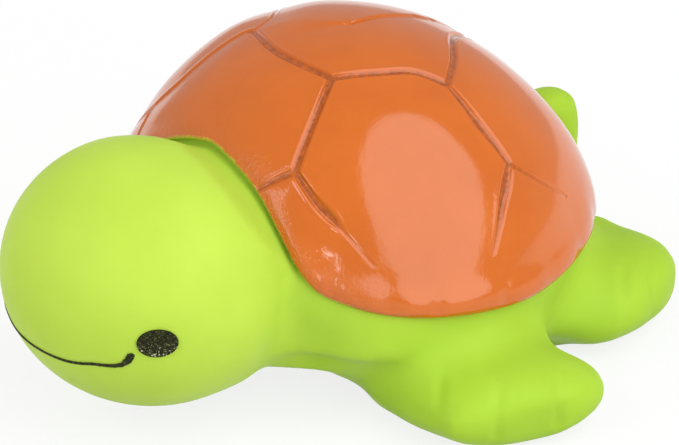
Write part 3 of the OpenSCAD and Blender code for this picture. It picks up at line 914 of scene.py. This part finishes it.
def skin_of(sheet, color, deeper, cloud, pore, low, high):
    return sheet.add("ShaderNodeGroup", node_tree=SKIN,
                     inputs={"Color": color, "Deeper": deeper, "Cloud Scale": cloud, "Pore Scale": pore,
                             "Gloss Low": low, "Gloss High": high}).outputs


def bump(sheet, shader, height, strength, distance):
    node = sheet.add("ShaderNodeBump",
                     inputs={"Height": height, "Strength": strength, "Distance": distance * MM})
    sheet.tree.links.new(node.outputs["Normal"], shader.inputs["Normal"])


def green_vinyl():
    made, s, shader = material("green_vinyl")
    place = s.add("ShaderNodeTexCoord").outputs["Object"]
    skin = skin_of(s, GREEN, GREEN_DEEP, cloud=90.0, pore=2600.0, low=0.40, high=0.5)
    y = s.add("ShaderNodeSeparateXYZ", inputs={0: place}).outputs["Y"]
    # Painted shade: darker, deeper green going back from the head towards the chest, flippers and tail
    body = s.span(y, -32 * MM, -6 * MM, smooth=True)
    color = s.mix(body, skin["Color"], BODY_PAINTED_SHADE, "MULTIPLY")
    s.tree.links.new(color, shader.inputs["Base Color"])
    s.tree.links.new(skin["Roughness"], shader.inputs["Roughness"])
    shader.inputs["Specular IOR Level"].default_value = 0.1
    shader.inputs["Subsurface Weight"].default_value = 0.15
    shader.inputs["Subsurface Radius"].default_value = (1.0, 1.0, 0.3)
    shader.inputs["Subsurface Scale"].default_value = 2 * MM
    bump(s, shader, skin["Height"], strength=0.12, distance=0.12)
    return made


def orange_gloss():
    made, s, shader = material("orange_gloss")
    place = s.add("ShaderNodeTexCoord").outputs["Object"]
    skin = skin_of(s, ORANGE, ORANGE_DEEP, cloud=70.0, pore=1500.0, low=0.08, high=0.12)
    shader.inputs["Specular IOR Level"].default_value = 0.44
    groove = s.add("ShaderNodeAttribute", attribute_name="groove").outputs["Fac"]
    above = s.add("ShaderNodeAttribute", attribute_name="rim_above").outputs["Fac"]
    # Speckle noise for the painted shade in the grooves and for the uneven paint edge at the neck
    groove_shade_and_mist_noise = s.noise(place, 1300.0, detail=4.0, rough=0.75)
    # Painted shade in the grooves, speckled by the noise
    deep = s.math("MULTIPLY", s.span(groove, 0.35, 0.95), s.span(groove_shade_and_mist_noise, 0.3, 0.6))
    color = s.mix(s.math("MULTIPLY", deep, 0.8), skin["Color"], GROOVE_SHADE)
    y = s.add("ShaderNodeSeparateXYZ", inputs={0: place}).outputs["Y"]
    neck = s.math("MULTIPLY", s.span(y, -9 * MM, -16 * MM), s.span(above, 6.0, 0.5))
    edge = s.math("MULTIPLY", neck, s.span(above, 1.6, -0.4))
    mist = s.span(s.math("ADD", edge, s.math("MULTIPLY", groove_shade_and_mist_noise, 0.45)), 0.78, 1.12)
    s.tree.links.new(s.mix(mist, color, GREEN_DEEP), shader.inputs["Base Color"])
    rough = s.math("ADD", skin["Roughness"], s.math("MULTIPLY", neck, 0.1))
    s.tree.links.new(rough, shader.inputs["Roughness"])
    shader.inputs["Coat Weight"].default_value = 0.28
    shader.inputs["Coat Roughness"].default_value = 0.07
    rash = s.noise(place, 1900.0, detail=3.0, rough=0.6)
    rash = s.math("MULTIPLY", s.math("MULTIPLY", neck, rash), 4.2)
    bump(s, shader, s.math("ADD", skin["Height"], rash), strength=0.38, distance=0.14)
    return made


def black_paint():
    made, s, shader = material("black_paint")
    place = s.add("ShaderNodeTexCoord").outputs["Object"]
    skin = skin_of(s, BLACK, BLACK_DEEP, cloud=500.0, pore=5200.0, low=0.5, high=0.7)
    shader.inputs["Specular IOR Level"].default_value = 0.14
    # Painted highlights: fine light specks over the black paint, and brighter glints only on the lower part
    # of the eyes
    speck = s.span(s.noise(place, 4200.0, detail=2.0, rough=0.6), 0.5, 0.66)
    level = s.add("ShaderNodeSeparateXYZ", inputs={0: place}).outputs["Z"]
    low = s.math("MULTIPLY", s.span(level, (EYE_Z + 0.2) * MM, (EYE_Z - 1.4) * MM),
                 s.span(level, 18.2 * MM, 18.5 * MM))
    spots = s.span(s.noise(place, 2900.0, detail=1.0, rough=0.5), 0.6, 0.66)
    glint = s.math("MULTIPLY", spots, low)
    highlight_specked = s.mix(speck, skin["Color"], SPECK_HIGHLIGHT)
    s.tree.links.new(s.mix(glint, highlight_specked, EYE_GLINT), shader.inputs["Base Color"])
    s.tree.links.new(skin["Roughness"], shader.inputs["Roughness"])
    grain = s.noise(place, 3600.0, detail=2.0, rough=0.55)
    bump(s, shader, grain, strength=0.5, distance=0.12)
    return made


def squeaker_plastic(name, color, deeper):
    made, s, shader = material(name)
    skin = skin_of(s, color, deeper, cloud=240.0, pore=2400.0, low=0.34, high=0.46)
    s.tree.links.new(skin["Color"], shader.inputs["Base Color"])
    s.tree.links.new(skin["Roughness"], shader.inputs["Roughness"])
    bump(s, shader, skin["Height"], strength=0.15, distance=0.06)
    return made


def paint(obj, made):
    obj.data.materials.clear()
    obj.data.materials.append(made)


# Camera, light and floor

def heading(turn, rise):
    """Direction at a turn from the nose and a rise, both in degrees."""
    turn, rise = math.radians(turn), math.radians(rise)
    return Vector((math.sin(turn) * math.cos(rise), -math.cos(turn) * math.cos(rise), math.sin(rise)))


def camera():
    back = heading(VIEW_TURN, VIEW_RISE)
    data = bpy.data.cameras.new("camera")
    data.sensor_width = SENSOR
    data.lens = SENSOR * FOCAL_PIXELS / PHOTO_PIXELS
    data.shift_x, data.shift_y = VIEW_SHIFT
    data.clip_start = 0.01
    data.clip_end = 20
    obj = bpy.data.objects.new("camera", data)
    bpy.context.scene.collection.objects.link(obj)
    obj.location = Vector(mm(*VIEW_TARGET)) + back * VIEW_DISTANCE * MM
    obj.rotation_euler = (-back).to_track_quat("-Z", "Y").to_euler()
    bpy.context.scene.camera = obj


# Point that the lamps face
LAMP_AIM = (0, 0, 20)


def softbox(name, shape, turn, rise, lean, distance, size, power, mirrored_in_gloss=True):
    back = heading(turn, rise)
    data = bpy.data.lights.new(name, "AREA")
    data.shape = shape
    data.size, data.size_y = size
    data.energy = power
    obj = bpy.data.objects.new(name, data)
    bpy.context.scene.collection.objects.link(obj)
    obj.location = Vector(mm(*LAMP_AIM)) + back * distance
    facing = (-back).to_track_quat("-Z", "Y") @ Quaternion((0, 0, 1), math.radians(lean))
    obj.rotation_euler = facing.to_euler()
    obj.visible_glossy = mirrored_in_gloss


def white_world():
    world = bpy.data.worlds.new("white_room")
    bpy.context.scene.world = world
    world.use_nodes = True
    s = Sheet(world.node_tree)
    ground = next(n for n in world.node_tree.nodes if n.type == "BACKGROUND")
    ground.inputs["Color"].default_value = (1, 1, 1, 1)
    path = s.add("ShaderNodeLightPath").outputs
    s.tree.links.new(s.span(path["Is Camera Ray"], 0, 1, 0.5, 1.0), ground.inputs["Strength"])


def pale_floor():
    clear_selection()
    bpy.ops.mesh.primitive_plane_add(size=6, location=mm(0, 0, -0.05))
    floor = apply_place(bpy.context.object)
    floor.name = "floor"
    made, s, shader = material("pale_floor")
    shader.inputs["Roughness"].default_value = 0.9
    shader.inputs["Specular IOR Level"].default_value = 0.1
    glow = s.add("ShaderNodeEmission", inputs={"Color": (1, 1, 1, 1), "Strength": 1.0})
    path = s.add("ShaderNodeLightPath").outputs
    mirrored_in = s.math("MAXIMUM", path["Is Glossy Ray"], path["Is Transmission Ray"])
    seen = s.math("MAXIMUM", path["Is Camera Ray"], mirrored_in)
    blend = s.add("ShaderNodeMixShader")
    pale = s.mix(seen, (0.62, 0.62, 0.62, 1), (0.95, 0.95, 0.95, 1))
    s.tree.links.new(pale, shader.inputs["Base Color"])
    s.tree.links.new(s.math("MULTIPLY", seen, 0.82), blend.inputs[0])
    s.tree.links.new(shader.outputs[0], blend.inputs[1])
    s.tree.links.new(glow.outputs[0], blend.inputs[2])
    out = next(n for n in made.node_tree.nodes if n.type == "OUTPUT_MATERIAL")
    s.tree.links.new(blend.outputs[0], out.inputs["Surface"])
    paint(floor, made)


camera()
bpy.context.scene.view_settings.view_transform = "Standard"
softbox("side_softbox", "ELLIPSE", turn=99.2, rise=39, lean=-21.7, distance=1.0, size=(1.17, 1.87),
        power=11.0)
softbox("front_fill", "RECTANGLE", turn=-2, rise=33, lean=0, distance=0.7, size=(0.14, 0.4), power=0.75)
softbox("left_fill", "RECTANGLE", turn=-50, rise=24, lean=0, distance=1.2, size=(1.3, 1.3), power=3.8,
        mirrored_in_gloss=False)
softbox("small_card", "RECTANGLE", turn=37.5, rise=18, lean=-25, distance=1.0, size=(0.09, 0.3), power=0.8)
white_world()
pale_floor()

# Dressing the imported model
body = soft_body()
paint(body, green_vinyl())
dome = shell()
paint(dome, orange_gloss())
left_eye, right_eye, mouth = eye("left_eye_paint", 1), eye("right_eye_paint", -1), smile()
black = black_paint()
for piece in (left_eye, right_eye, mouth):
    paint(piece, black)

white = squeaker_plastic("white_plastic", WHITE, WHITE_DEEP)
film = squeaker_plastic("clear_film", FILM, FILM_DEEP)
for name in ("squeaker_cup", "squeaker_cover", "reed_trough", "reed_wedge"):
    paint(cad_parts[name], white)
paint(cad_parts["reed"], film)

# A full press squashes the whole toy evenly, so the shell and the body stay together
for piece, node, slot in ((body, "body_casting", "green_vinyl"), (left_eye, "left_eye", "black_paint"),
                          (right_eye, "right_eye", "black_paint"), (mouth, "mouth_line", "black_paint")):
    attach(piece, "casting")
    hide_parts(node)
    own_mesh(piece)
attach(dome, "shell")
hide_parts("carapace")
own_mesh(dome)

clear_selection()
